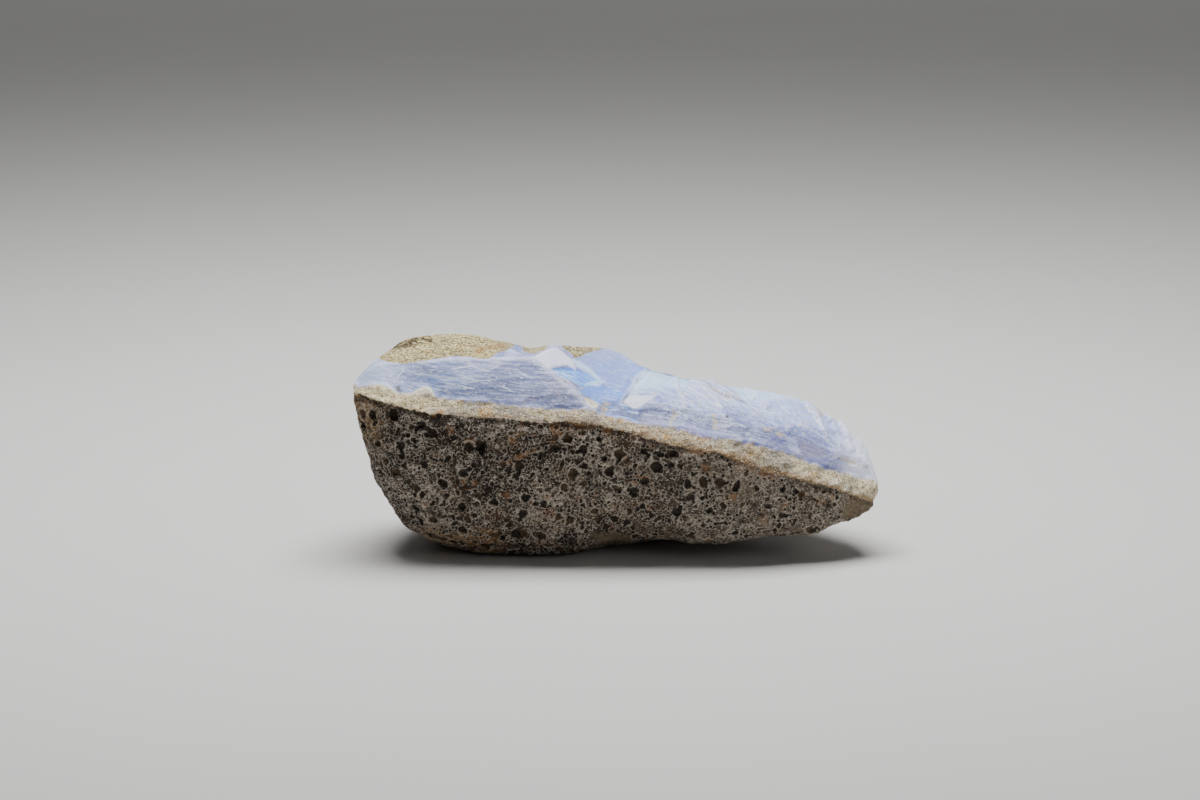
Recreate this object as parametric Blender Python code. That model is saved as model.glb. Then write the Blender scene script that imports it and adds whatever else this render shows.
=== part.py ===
"""A rough piece of blue lace agate: dark pitted host rock, a thin tan contact band and broken blue chalcedony.

The stone is one natural piece, so it is one solid. It is lofted through the long edge lines that run over
the real stone from its blunt left end to its thin right end, roughened, and set down on a small flat spot.
Chips are then broken from its top, and gas bubble pits sunk into the host rock.

Axes: +X to the right along the length, +Y away from the front face, +Z up.
Origin: the middle of the stone's box, at the surface it rests on. Sizes below are in millimetres.
"""

import math
import random

import bmesh
import bpy
import numpy as np
from mathutils import Matrix, Vector, noise
from mathutils.bvhtree import BVHTree

MM = 0.001
HALF_LENGTH = 48.0
STATIONS = 50
SPAN_STEPS = 4

# The long edge lines of the stone, in the order they are met going round it from the front foot.
# Each has a roundness, 0 for a sharp arris and 1 for a full curve, and its points (x, y, z).
FRONT_FOOT = (0.75, [
    (-48, -7, 28), (-46.5, -7, 20), (-45, -8, 14.6), (-42.5, -9.5, 9.6), (-39.5, -10.5, 6), (-35, -12, 2.8),
    (-29, -12.5, 0.6), (-24, -13, -0.4), (-16, -13.5, -0.5), (-8, -13, 0), (-4, -13, 1.4), (1, -13, 2.8),
    (10, -14, 3.6), (15, -15, 2.4), (19, -15, 2.5), (25, -14.5, 4), (36, -12.5, 4.4), (41, -11.5, 5.8),
    (45.5, -10, 7.4), (48, -9, 12)])
BELLY = (1.0, [
    (-48, -8.5, 29), (-46, -12, 24), (-42, -15, 20), (-35, -17.5, 17), (-20, -18.5, 15), (0, -19, 14),
    (15, -19, 12), (30, -17, 10.5), (40, -14, 9.8), (45, -11.5, 10), (48, -9.5, 12.3)])
HOST_EDGE = (0.1, [
    (-48, -9.5, 30.4), (-46.3, -12, 31), (-43, -14.5, 30.3), (-38, -16.2, 29.3), (-33, -16.8, 28.3),
    (-27, -17, 28), (-20, -17.2, 27.5), (-14, -17, 26.8), (-9, -17, 27.1), (-3, -17.3, 26.3),
    (3.5, -17.6, 24.8), (8.5, -17.6, 23.1), (12, -17.6, 22.4), (17.5, -17.5, 21.6), (22.6, -17.3, 19.8),
    (26.4, -17, 18), (32.5, -16, 16), (38.8, -14, 14), (44.8, -11.5, 12), (48, -9.4, 12.9)])
VEIN_EDGE = (0.1, [
    (-48, -8, 31.7), (-44.4, -11, 32.6), (-41.9, -12.5, 32.3), (-38, -13.8, 31.4), (-33, -14, 30.8),
    (-24, -14.5, 30.2), (-13, -14.2, 28.9), (-5, -14.2, 29), (-1, -14.3, 27.6), (3.8, -14.4, 26.3),
    (11.6, -14.5, 25.2), (15, -14.5, 24), (22.6, -14.3, 23), (30, -13.5, 20.7), (38.7, -11.5, 16.9),
    (42.7, -10, 15.2), (46.8, -8.6, 14), (48, -8.5, 13.4)])
BROW = (0.12, [
    (-48, -6.5, 32), (-44, -7, 35.4), (-39.3, -8, 36.2), (-34, -9, 36.8), (-29, -9, 37.4), (-24, -9, 37.3),
    (-19, -8, 37.2), (-13, -7, 36.6), (-6, -7, 36), (-1, -8, 32), (3, -9, 30.3), (6, -9, 29.8),
    (12, -9, 28.6), (22.6, -9, 26.9), (30, -9, 24.7), (37, -8, 22.4), (42.7, -7, 19.3), (46.4, -6.5, 16.9),
    (48, -8, 13.8)])
CREST = (0.4, [
    (-48, -5, 32), (-46, -2, 34.5), (-41.6, 0, 36.8), (-39.7, 1, 38.3), (-35, 2, 39.2), (-32, 3, 39.2),
    (-27, 3, 38.9), (-21.4, 2, 37.9), (-19, 2, 37.1), (-16.9, 2, 35.8), (-15.2, 3, 36.5), (-12.2, 5, 36.6),
    (-7.6, 7, 35.9), (-0.3, 9, 35.3), (3.7, 7, 32.6), (5.7, 5, 31.3), (8, 5, 31), (11, 5, 30.2), (15.3, 5, 30),
    (21.7, 5, 28.7), (24, 4, 28.2), (32.3, 3, 27.4), (37, 2, 25.6), (41, 1, 23.3), (44, -1, 21.3),
    (46.3, -3, 18.9), (47.5, -6, 15.6), (48, -7.6, 13.8)])
BACK_BROW = (0.4, [
    (-48, -3, 31), (-45, 4, 32.5), (-40, 9, 34.5), (-30, 13, 35.2), (-20, 14.5, 34), (-10, 15.5, 33),
    (0, 15.5, 31), (10, 14.5, 28.5), (20, 13, 26.5), (30, 11, 24.5), (38, 7, 21.5), (44, 1, 18),
    (47, -4, 15.2), (48, -7, 13.3)])
BACK_BELLY = (1.0, [
    (-48, -3, 29), (-45, 5.5, 23), (-40, 13, 20), (-30, 18, 18), (-15, 20.5, 17), (0, 20.5, 16),
    (15, 19, 14.5), (28, 15.5, 13.5), (38, 9.5, 12.5), (44, 2, 12), (47, -4, 12.2), (48, -7, 12.6)])
BACK_FOOT = (0.8, [
    (-48, -4, 28), (-46, 0, 20), (-42, 5, 11), (-36, 9.5, 4), (-29, 12, 0.4), (-22, 13, -0.5), (-8, 13.5, -0.6),
    (4, 13, -0.4), (12, 12, 1.6), (22, 11, 4), (34, 6, 6), (43, -1, 8), (47, -6, 10.5), (48, -7.5, 12)])
SOLE = (1.0, [
    (-48, -5.5, 27.5), (-46.5, -4, 20), (-42, -2.5, 9.5), (-36, -1, 2.6), (-28, 0, -0.4), (-20, 0, -0.7),
    (6, 0, -0.6), (14, 0, 1.4), (25, -1, 3.6), (36, -3, 4.6), (43, -5, 6.8), (47, -7.5, 10), (48, -8.2, 11.8)])
EDGE_LINES = [FRONT_FOOT, BELLY, HOST_EDGE, VEIN_EDGE, BROW, CREST, BACK_BROW, BACK_BELLY, BACK_FOOT, SOLE]

# Roughness of the whole surface: (height, wavelength) of each layer of waves.
WAVES = [(0.5, 13.0), (0.15, 5.0)]

# Chips that broke off the top. Each is bounded by flat fracture faces: a point on the face left on the stone,
# and the direction in which that face looks out of it.
HOLLOW = [
    ((-2.7, -0.5, 30.3), (0.517, -0.138, 0.845)), ((-2.7, -0.5, 30.3), (0.243, -0.473, 0.847)),
    ((0, -0.5, 29.5), (0.1, -0.155, 0.98)), ((3.3, 0, 30.6), (-0.86, 0.24, 0.45))]
END_NICK = [((33, -10, 21.5), (0.378, -0.587, 0.716)), ((33, -10, 21.5), (0.87, -0.1, 0.48))]
TOP_SCAR = [((22, -6.5, 26.8), (0.2, -0.31, 0.93)), ((20, -4, 27.4), (0.5, -0.1, 0.86))]
REAR_FACE = [((-28, 12, 34), (-0.25, 0.72, 0.65))]
REAR_END_FACE = [((21, 12, 25.3), (0.35, 0.6, 0.72))]
LEFT_FACE = [((-43.5, 2, 33.5), (-0.72, 0.35, 0.6))]
CHIPS = {"hollow": HOLLOW, "end_nick": END_NICK, "top_scar": TOP_SCAR, "rear_face": REAR_FACE,
         "rear_end_face": REAR_END_FACE, "left_face": LEFT_FACE}
CHIP_BLOCK = 300.0

# Gas bubble pits of the front face: (x, z, width, height).
FRONT_PITS = [
    (-24.7, 22.8, 2.8, 2.9), (-28.8, 26.3, 2.0, 1.7), (-25.4, 26.6, 2.4, 1.1), (-30.4, 23.9, 1.5, 1.1),
    (-35.1, 19, 1.8, 1.7), (-41.3, 20.3, 3.2, 1.3), (-40.6, 16.7, 2.4, 2.1), (-40.6, 27.6, 1.8, 1.8),
    (-20.3, 24.2, 1.8, 1.1), (-3.2, 24, 2.0, 1.5), (-10.9, 22.4, 2.6, 1.1), (-6.2, 25, 1.3, 1.1),
    (-18.1, 18.1, 2.2, 1.3), (-5.1, 17.9, 2.2, 1.3), (-2.2, 20.6, 2.0, 1.8), (4.8, 21.8, 1.7, 1.7),
    (1.5, 17.9, 2.2, 1.5), (-8.4, 13.4, 1.3, 2.0), (-11.7, 15.4, 1.3, 1.5), (-37, 9.6, 2.6, 2.2),
    (-32.3, 12.2, 2.4, 1.0), (-28.2, 10.7, 1.7, 2.0), (-36.7, 13.9, 1.8, 1.5), (-29.3, 7.3, 1.8, 1.3),
    (-19.9, 8.2, 1.8, 1.3), (-11, 8.2, 2.2, 1.1), (-17.8, 5.2, 3.2, 1.5), (-14.6, 10.6, 1.8, 1.0),
    (9.8, 19.3, 1.3, 1.1), (12.1, 16.2, 2.0, 1.0), (27.5, 11.3, 1.7, 1.1), (33.8, 13, 1.5, 1.3),
    (-23.2, 14.5, 1.5, 1.3), (-13.2, 21.2, 1.3, 1.1), (19, 19.2, 1.2, 1.1), (18.5, 10.5, 1.4, 1.1)]
PIT_DEPTH = 0.6
PIT_SIDES = 10
PIT_RINGS = 5

# The pits of the rest of the host rock, seeded: how many, how wide, how far apart, how far below the contact.
OTHER_PITS = 40
PIT_WIDTHS = (1.3, 2.8)
PIT_GAP = 0.9
PIT_MARGIN = 1.6
PIT_TRIES = 4000
SEED = 11

# How far the contact rises for each millimetre towards the back.
CONTACT_LEAN = 0.1
SHARP_ANGLE = math.radians(25)


def smooth_through(points, at):
    """The curve (y, z) through points (x, y, z), monotone between them so that it never overshoots."""
    table = np.array(points, float)
    xs = table[:, 0]
    found = []
    for values in (table[:, 1], table[:, 2]):
        rise = np.diff(values) / np.diff(xs)
        slope = np.concatenate([[rise[0]], (rise[:-1] + rise[1:]) / 2, [rise[-1]]])
        turning = np.concatenate([[False], rise[:-1] * rise[1:] <= 0, [False]])
        slope[turning] = 0
        least = 3 * np.minimum(np.abs(np.append(rise, rise[-1])), np.abs(np.insert(rise, 0, rise[0])))
        slope = np.clip(slope, -least, least)
        i = np.clip(np.searchsorted(xs, at) - 1, 0, len(rise) - 1)
        width = xs[i + 1] - xs[i]
        t = (at - xs[i]) / width
        found.append(values[i] * (1 + 2 * t) * (1 - t) ** 2 + values[i + 1] * t * t * (3 - 2 * t)
                     + width * t * (1 - t) * (slope[i] * (1 - t) - slope[i + 1] * t))
    return np.stack(found, axis=1)


def ring_through(corners, roundness, steps):
    """A closed ring round the stone: straight between corners, each turned as sharply as its roundness says."""
    before = (np.roll(corners, 1, axis=0) + corners) / 2
    after = (np.roll(corners, -1, axis=0) + corners) / 2
    ring = []
    for corner, start, end, soft in zip(corners, before, after, roundness):
        for step in range(steps):
            t = step / steps
            sharp = start + (corner - start) * 2 * t if t < 0.5 else corner + (end - corner) * (2 * t - 1)
            curved = start * (1 - t) ** 2 + corner * 2 * t * (1 - t) + end * t * t
            ring.append(sharp + (curved - sharp) * soft)
    return ring


def loft_stone(stations, steps):
    """The whole stone before it breaks: rings through the edge lines, closed by a small flat at each end."""
    turn = np.linspace(-math.pi / 2, math.pi / 2, stations)
    xs = HALF_LENGTH * np.sin(turn)
    lines = [smooth_through(points, xs) for _, points in EDGE_LINES]
    roundness = [soft for soft, _ in EDGE_LINES]
    shape = bmesh.new()
    rings = []
    for i, x in enumerate(xs):
        corners = np.array([line[i] for line in lines])
        rings.append([shape.verts.new((x, y, z)) for y, z in ring_through(corners, roundness, steps)])
    for ring, following in zip(rings, rings[1:]):
        for j in range(len(ring)):
            k = (j + 1) % len(ring)
            shape.faces.new((ring[j], ring[k], following[k], following[j]))
    shape.faces.new(rings[0])
    shape.faces.new(rings[-1])
    bmesh.ops.recalc_face_normals(shape, faces=shape.faces)
    return shape


def roughen(shape):
    """Lays waves of two lengths over the surface, each point moved along its normal."""
    shape.normal_update()
    moves = []
    for vertex in shape.verts:
        height = sum(size * noise.noise(vertex.co / length + Vector((length, 0, 0))) for size, length in WAVES)
        moves.append(vertex.normal * height)
    for vertex, move in zip(shape.verts, moves):
        vertex.co += move


def flatten_sole(shape):
    """Cuts the underside off at the surface it rests on, which leaves the small flat spot."""
    everything = shape.verts[:] + shape.edges[:] + shape.faces[:]
    cut = bmesh.ops.bisect_plane(shape, geom=everything, plane_co=(0, 0, 0), plane_no=(0, 0, 1),
                                 clear_inner=True, dist=0.001)
    rim = [e for e in cut["geom_cut"] if isinstance(e, bmesh.types.BMEdge)]
    bmesh.ops.contextual_create(shape, geom=rim)
    bmesh.ops.recalc_face_normals(shape, faces=shape.faces)


def middle_of(shape):
    """The middle of the shape's box in x and y, which becomes the origin."""
    points = np.array([vertex.co for vertex in shape.verts])
    middle = (points.min(axis=0) + points.max(axis=0)) / 2
    return Vector((middle[0], middle[1], 0))


def chip_cutter(faces):
    """The chip that broke off: a block far larger than the stone, cut down to what lies in front of each face."""
    shape = bmesh.new()
    bmesh.ops.create_cube(shape, size=CHIP_BLOCK)
    for point, facing in faces:
        everything = shape.verts[:] + shape.edges[:] + shape.faces[:]
        cut = bmesh.ops.bisect_plane(shape, geom=everything, plane_co=point, plane_no=facing,
                                     clear_inner=True, dist=0.001)
        rim = [e for e in cut["geom_cut"] if isinstance(e, bmesh.types.BMEdge)]
        bmesh.ops.contextual_create(shape, geom=rim)
    bmesh.ops.recalc_face_normals(shape, faces=shape.faces)
    return shape


def contact_height(x, y):
    """Height of the tan contact's lower side, the top of the host rock, at a place in the stone."""
    edge = smooth_through(HOST_EDGE[1], np.array([x]))[0]
    return edge[1] + CONTACT_LEAN * (y - edge[0])


def add_pit(pits, centre, normal, width, height):
    """One bubble in the pits' mesh, lying in the surface, with its width along the stone."""
    along = Vector((1, 0, 0))
    along = (along - normal * along.dot(normal)).normalized()
    across = normal.cross(along)
    size = Matrix.Diagonal((width / 2, height / 2, min(width, height) * PIT_DEPTH, 1))
    turned = Matrix((along, across, normal)).transposed().to_4x4()
    bmesh.ops.create_uvsphere(pits, u_segments=PIT_SIDES, v_segments=PIT_RINGS, radius=1,
                              matrix=Matrix.Translation(centre) @ turned @ size)


def pits_cutter(shape):
    """All the pits in one mesh: those of the front face where they are, and others seeded over the rest."""
    surface = BVHTree.FromBMesh(shape)
    pits = bmesh.new()
    placed = []
    for x, z, width, height in FRONT_PITS:
        centre, normal, _, _ = surface.ray_cast(Vector((x, -HALF_LENGTH, z)), Vector((0, 1, 0)))
        add_pit(pits, centre, normal, width, height)
        placed.append((centre, max(width, height) / 2))
    rng = random.Random(SEED)
    for _ in range(PIT_TRIES):
        if len(placed) == len(FRONT_PITS) + OTHER_PITS:
            break
        width = rng.uniform(*PIT_WIDTHS)
        height = width * rng.uniform(0.6, 0.9)
        inner = Vector((rng.uniform(-0.85, 0.85) * HALF_LENGTH, 0, 15))
        away = Vector((rng.uniform(-1, 1), rng.uniform(-0.4, 1), rng.uniform(-0.7, 0.7)))
        centre, normal, _, _ = surface.ray_cast(inner, away)
        if centre is None or normal.z < -0.9:
            continue
        if centre.z > contact_height(centre.x, centre.y) - PIT_MARGIN or centre.z < PIT_MARGIN:
            continue
        if any((centre - other).length < reach + width / 2 + PIT_GAP for other, reach in placed):
            continue
        add_pit(pits, centre, normal, width, height)
        placed.append((centre, width / 2))
    return pits


def object_from(shape, name, origin):
    """A Blender object in metres from a mesh in millimetres, with the given point as its origin."""
    bmesh.ops.translate(shape, vec=-origin, verts=shape.verts)
    bmesh.ops.scale(shape, vec=(MM, MM, MM), verts=shape.verts)
    mesh = bpy.data.meshes.new(name)
    shape.to_mesh(mesh)
    shape.free()
    made = bpy.data.objects.new(name, mesh)
    bpy.context.scene.collection.objects.link(made)
    return made


def cut_with(stone, cutter):
    """Takes the cutter's shape out of the stone, and leaves the cutter as a hidden wire guide."""
    cutter.hide_render = True
    cutter.display_type = "WIRE"
    cut = stone.modifiers.new(cutter.name, "BOOLEAN")
    cut.operation = "DIFFERENCE"
    cut.solver = "EXACT"
    cut.object = cutter


def stone_material():
    """One dull grey-blue for the whole stone, between its pale chalcedony and its dark host rock."""
    material = bpy.data.materials.new("blue_lace_agate")
    material.use_nodes = True
    shader = material.node_tree.nodes["Principled BSDF"]
    shader.inputs["Base Color"].default_value = (0.20, 0.21, 0.24, 1)
    shader.inputs["Roughness"].default_value = 0.6
    shader.inputs["Metallic"].default_value = 0
    return material


def clear_scene():
    for old in list(bpy.data.objects):
        bpy.data.objects.remove(old)


def main():
    clear_scene()
    shape = loft_stone(STATIONS, SPAN_STEPS)
    roughen(shape)
    flatten_sole(shape)
    origin = middle_of(shape)
    pits = pits_cutter(shape)
    stone = object_from(shape, "blue_lace_agate", origin)
    stone.data.shade_smooth()
    stone.data.set_sharp_from_angle(angle=SHARP_ANGLE)
    stone.data.materials.append(stone_material())
    for name, faces in CHIPS.items():
        cut_with(stone, object_from(chip_cutter(faces), name, origin))
    bubbles = object_from(pits, "pits", origin)
    bubbles.data.shade_smooth()
    cut_with(stone, bubbles)


main()
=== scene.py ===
"""Looks of the blue lace agate: its fine surface and its material, and the floor, lights and camera.

The fine surface starts as a copy of the CAD solid. It is remeshed finely, chipped and stepped along the vein
where the chalcedony broke, and pitted by Geometry Nodes where it is host rock. What each place is made of is
kept in named attributes of the mesh, which the material reads. Sizes are in millimetres where nothing else
is said.
"""

import math
from types import SimpleNamespace

import bmesh
import bpy
import numpy as np
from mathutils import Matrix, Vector, noise


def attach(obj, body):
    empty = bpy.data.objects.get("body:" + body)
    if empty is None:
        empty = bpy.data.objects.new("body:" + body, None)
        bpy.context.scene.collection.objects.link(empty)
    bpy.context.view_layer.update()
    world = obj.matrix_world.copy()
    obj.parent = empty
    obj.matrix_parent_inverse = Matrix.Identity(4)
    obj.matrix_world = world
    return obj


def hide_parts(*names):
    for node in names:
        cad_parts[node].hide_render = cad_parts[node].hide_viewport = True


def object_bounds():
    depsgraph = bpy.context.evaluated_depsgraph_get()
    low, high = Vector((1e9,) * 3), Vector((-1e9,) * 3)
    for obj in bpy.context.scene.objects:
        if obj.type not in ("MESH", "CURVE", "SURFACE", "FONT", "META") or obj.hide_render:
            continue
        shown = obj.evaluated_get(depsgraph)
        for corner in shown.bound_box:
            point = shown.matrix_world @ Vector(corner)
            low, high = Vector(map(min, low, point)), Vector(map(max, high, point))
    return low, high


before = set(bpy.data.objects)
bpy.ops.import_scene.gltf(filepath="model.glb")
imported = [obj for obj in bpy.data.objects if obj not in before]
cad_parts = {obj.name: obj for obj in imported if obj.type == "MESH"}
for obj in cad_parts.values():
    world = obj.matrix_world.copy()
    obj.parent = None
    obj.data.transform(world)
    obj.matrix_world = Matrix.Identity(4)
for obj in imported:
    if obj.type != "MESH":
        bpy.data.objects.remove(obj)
CAD_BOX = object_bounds()

MM = 0.001
STONE = "blue_lace_agate"
STONE_PIECE = "agate_stone"

# The CAD solid is set down with this point of its lofting lines at the origin. Every place below is in those
# lines.
LOFT_ORIGIN = np.array([-0.042, 0.331, 0.0])

# The floor's half width, and each light: its place, what it is aimed at and its size in metres, and its power
# in watts.
FLOOR_HALF = 3.0
STONE_MIDDLE = (0, 0, 0.02)
LIGHTS = {
    "soft_top_light": ((-0.01, 0.055, 0.36), STONE_MIDDLE, (0.3, 0.19), 3.04),
    "fill_light": ((0.5, -0.35, 0.25), STONE_MIDDLE, (0.4, 0.4), 0.52),
    "far_light": ((0, 1.8, 0.8), (0, 1.8, 0), (2.0, 1.0), 8.9)}
ROOM_COLOUR = (1.0, 1.0, 1.02, 1.0)
ROOM_STRENGTH = 0.05

# Fineness of the surface, how close points of the CAD solid are merged, and how far the surface's points stay
# inside the CAD box.
GRAIN = 0.385
MERGED = 0.001
INSIDE = 0.02

# Upper edge of the host rock along the front face, then lower edge of the vein: (x, y, z).
HOST_EDGE = [
    (-48, -9.5, 30.4), (-46.3, -12, 31), (-43, -14.5, 30.3), (-38, -16.2, 29.3), (-33, -16.8, 28.3),
    (-27, -17, 28), (-20, -17.2, 27.5), (-14, -17, 26.8), (-9, -17, 27.1), (-3, -17.3, 26.3),
    (3.5, -17.6, 24.8), (8.5, -17.6, 23.1), (12, -17.6, 22.4), (17.5, -17.5, 21.6), (22.6, -17.3, 19.8),
    (26.4, -17, 18), (32.5, -16, 16), (38.8, -14, 14), (44.8, -11.5, 11.3), (46.8, -10.5, 10.2),
    (48, -9.4, 9.5)]
VEIN_EDGE = [
    (-48, -8, 31.7), (-44.4, -11, 32.6), (-41.9, -12.5, 32.3), (-38, -13.8, 31.4), (-33, -14, 30.8),
    (-24, -14.5, 30.2), (-13, -14.2, 28.9), (-5, -14.2, 29), (-1, -14.3, 27.6), (3.8, -14.4, 26.3),
    (11.6, -14.5, 25.2), (15, -14.5, 24), (22.6, -14.3, 23), (30, -13.5, 20.7), (38.7, -11.5, 16.9),
    (42.7, -10, 15.2), (46.8, -8.6, 14), (48, -8.5, 13.4)]

# Brow between the vein's front face and its broken top: (x, y, z).
BROW_EDGE = [
    (-48, -6.5, 32), (-44, -7, 35.4), (-34, -9, 36.8), (-24, -9, 37.3), (-13, -7, 36.6), (-6, -7, 36),
    (-1, -8, 32), (3, -9, 30.3), (12, -9, 28.6), (22.6, -9, 26.9), (30, -9, 24.7), (37, -8, 22.4),
    (42.7, -7, 19.3), (48, -8, 13.8)]

# How the contact rises towards the back, in mm per mm, and the turn from +X of the fibres on the broken top.
CONTACT_LEAN = 0.1
FIBRE_TURN = -56

# How far the host rock's thin end is drawn up and out, and between which x that starts and is full.
TIP_LIFT = 1.5
TIP_LIFTED = (41, 47)
TIP_REACH = 0.6
TIP_REACHING = (43, 46.5)

# The groove under the host rock's upper edge: its depth, and the heights over that edge where it starts and
# where it is full.
GROOVE_DEPTH = 0.3
GROOVE_HEIGHTS = (-1.6, -0.3)

# Over how many mm one rock passes into the next, and over how many the roughness sets in above the flat spot.
CONTACT_FADE = 0.5
SOLE_FADE = (0.05, 1.5)

# Rounds of smoothing for the ridge, the hollows and the mask of what faces the camera.
RIDGE_ROUNDS = 40
HOLLOW_ROUNDS = 40
FACING_ROUNDS = 15

# Seeded waves of the host rock and of the contact: height, length, seed, and how they are drawn out.
ROCK_WAVES = [(0.32, 7, 1, (1, 1, 1)), (0.2, 2.6, 2, (1.6, 1, 1)), (0.1, 1.1, 3, (1, 1, 1))]
CONTACT_WAVES = [(0.2, 2.8, 4, (1.8, 1, 1)), (0.15, 1.1, 5, (1, 1, 1))]

# Steps and waves of the broken vein, in the same terms, and the x and the height over the brow between which
# the bands' steps give way to the fibres'.
FINE_STEPS = (0.06, 2.6, 1, (3.0, 1.2, 0.6))
FINE_WAVES = (0.03, 0.9, 6, (2.4, 1, 0.6))
BROAD_STEPS = (0.08, 7, 4, (1.6, 1.2, 0.7))
FIBRE_STEPS = (0.13, 1.6, 2, (5.0, 0.8, 1.0))
FIBRES_FROM_X = (2, 8)
FIBRES_OVER_BROW = (-2, 1)

# Height of the vein's upper contact at the left, where its tan skin is still on it: (x, z) along the crest.
TOP_SKIN = [
    (-48, 29), (-44, 31), (-38, 33), (-30, 34), (-20, 32.4), (-14, 31.4), (-6, 32), (0, 33), (5, 60),
    (48, 60)]

# The marks seen in the photograph end between these two y, near the back edge of the broken top.
BACK_EDGE = (6.5, 9.5)

# How far a place is turned to the camera where outlined marks start and are full, and where thin lines are;
# and the pixels to a line's side where it ends and up to which it is whole.
MARKS_FACING = (-0.25, 0.0)
LINES_FACING = (0.1, 0.3)
LINE_REACH = (4, 2.5)

# The photograph's camera: the point it looks at, its height over level, its distance, and its focal length
# and frame in the photograph's pixels. Marks on the stone are outlined in those pixels, as seen from there.
LOOKED_AT = np.array([-3.07, -8, 28.96])
CAMERA_TILT = math.radians(14)
CAMERA_DISTANCE = 610.0
FRAME_PX = (1200, 800)
FOCAL_PX = 3330.0
SENSOR_MM = 36.0

# Tan skin on the top.
SKIN = [
    (340, 300), (376, 358), (390, 362.5), (402, 363.4), (416, 362), (430, 360), (441, 358), (456, 356),
    (470, 357), (482.5, 359), (490, 358), (497, 353.6), (506, 351), (514, 346), (516, 300)]
SKIN_BY_NOTCH = [(523, 352), (532.5, 354), (543, 351.5), (551, 343.5), (552, 335), (520, 335)]
SKIN_ON_BACK_FACE = [
    (563, 348), (570, 352), (576, 358.5), (590.5, 352), (599.5, 349), (607, 345), (600, 335), (560, 335)]

# Facets and chips around the hollow, and on the right block.
WHITE_FACET = [
    (535, 355.5), (547, 350), (557, 347), (565, 354), (571, 359), (577, 369), (567, 364.5),
    (557, 366.5), (549, 368.5), (541, 361.5)]
VIVID_WALL = [
    (549, 368.5), (560, 366.4), (569, 366), (580, 369), (590, 374), (602, 382), (588, 385.5),
    (580, 386.5), (569, 379), (558, 373.5)]
PALE_LIP = [(570, 358.5), (580, 361.5), (590, 368), (603, 381.5), (598, 381), (588, 372), (578, 367)]
PALE_FOOT = [(584, 384.5), (594, 380), (605, 381), (598, 386)]
LEFT_CHIP = [(584, 396), (591, 398), (599, 404), (598, 406), (594, 408), (589, 404.5)]
RIGHT_CHIP = [
    (622.4, 400.4), (628, 393), (655, 395.5), (647, 402), (638, 408), (632.7, 408), (624.6, 402.7)]
LENS = [
    (519, 405), (527, 399), (541, 396), (550, 395), (566, 395.5), (583, 395.5), (594, 408), (570, 409),
    (545, 409)]
TAN_BUMP = [
    (405, 396), (412, 393), (418, 389), (424, 387), (430, 388), (434, 392), (435, 398), (420, 404)]
# A small facet painted grey: painted shade.
SHADED_TRIANGLE = [(717, 394), (735, 396), (749, 403), (735, 402)]
BACK_FACE = [
    (576, 358), (592, 351), (616, 343), (648, 368), (644, 374), (634, 380), (628, 392), (618, 390),
    (604, 384), (597, 377), (587, 365)]
HOLLOW_FLOOR = [
    (590, 383), (604, 384), (628, 393), (620, 402), (640, 408), (636, 423), (615, 417), (597, 411),
    (590, 402), (580, 392)]
LOBE = [
    (648, 368), (664, 370), (682, 374), (690, 384), (676, 390), (656, 389), (632, 389), (634, 384),
    (640, 376)]
SKY_FLAKE = [
    (727, 383), (742, 384), (760, 391), (790, 393), (800, 398), (758, 400), (744, 402), (735, 394)]
SOFT_RIDGE = [
    (652, 362), (662, 372), (648, 392), (640, 404), (624, 418), (598, 416), (604, 402), (620, 388),
    (634, 370)]

# Where no scar is bitten, and smooth plates of the host rock.
CALM_PLACES = [
    (380, 360), (520, 345), (560, 340), (616, 340), (650, 368), (640, 410), (636, 425), (430, 402)]
PLATES = [
    [(590, 536), (604, 532), (618, 533), (631, 538), (628, 546), (600, 548)],
    [(839, 506), (858, 499), (877, 501), (876, 512), (862, 519), (843, 521)]]

# Bands, shades, streaks and flecks.
PALE_BANDS = [
    [(424, 375), (446, 377), (470, 373), (484, 377), (470, 383), (440, 381)],
    [(468, 362), (482, 365), (498, 358), (514, 350), (520, 354), (504, 364), (484, 370), (472, 368)],
    [(784, 436), (794, 437), (802, 456), (790, 452)],
    [(758, 399), (780, 393), (812, 400), (832, 420), (850, 444), (832, 440), (806, 416), (780, 406)]]
DUSK_BANDS = [
    [(400, 370), (420, 367), (452, 369), (440, 375), (412, 376)],
    [(436, 384), (470, 386), (520, 384), (548, 388), (540, 395), (500, 399), (455, 398), (438, 392)],
    [(484, 379), (500, 373), (520, 373), (528, 379), (510, 384)],
    [(640, 404), (690, 408), (750, 424), (780, 436), (740, 438), (690, 424), (650, 416)]]
HOLLOW_SHADE = [
    (594, 408), (604, 401), (618, 400), (636, 410), (662, 404), (690, 424), (640, 421), (615, 415)]
NICK_SHADE = [(795, 437), (803, 440), (822, 448), (834, 459), (803, 456)]
UMBER_STREAK = [(390, 349), (398, 343), (414, 339), (431, 337), (433, 341.5), (412, 345.5), (400, 349)]
RUST_STREAK = [(476, 350), (488, 346), (503, 343), (506, 346), (492, 349.5), (478, 353)]
TAN_FLECKS = [
    [(711, 414), (716, 415), (719, 428), (714, 429)],
    [(762, 427), (772, 429), (771, 433), (763, 431)],
    [(775, 432), (785, 434), (783, 437), (776, 436)],
    [(832, 452), (850, 459), (876, 470), (848, 463)],
    [(814, 404), (820, 405), (823, 415), (817, 419)],
    [(672, 410), (677, 412), (673, 424), (669, 428)]]
BLACK_FLECKS = [
    [(726, 414.5), (729, 414.5), (729, 418), (726, 418)],
    [(395, 386), (400, 386), (402, 391), (397, 391)]]

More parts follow.
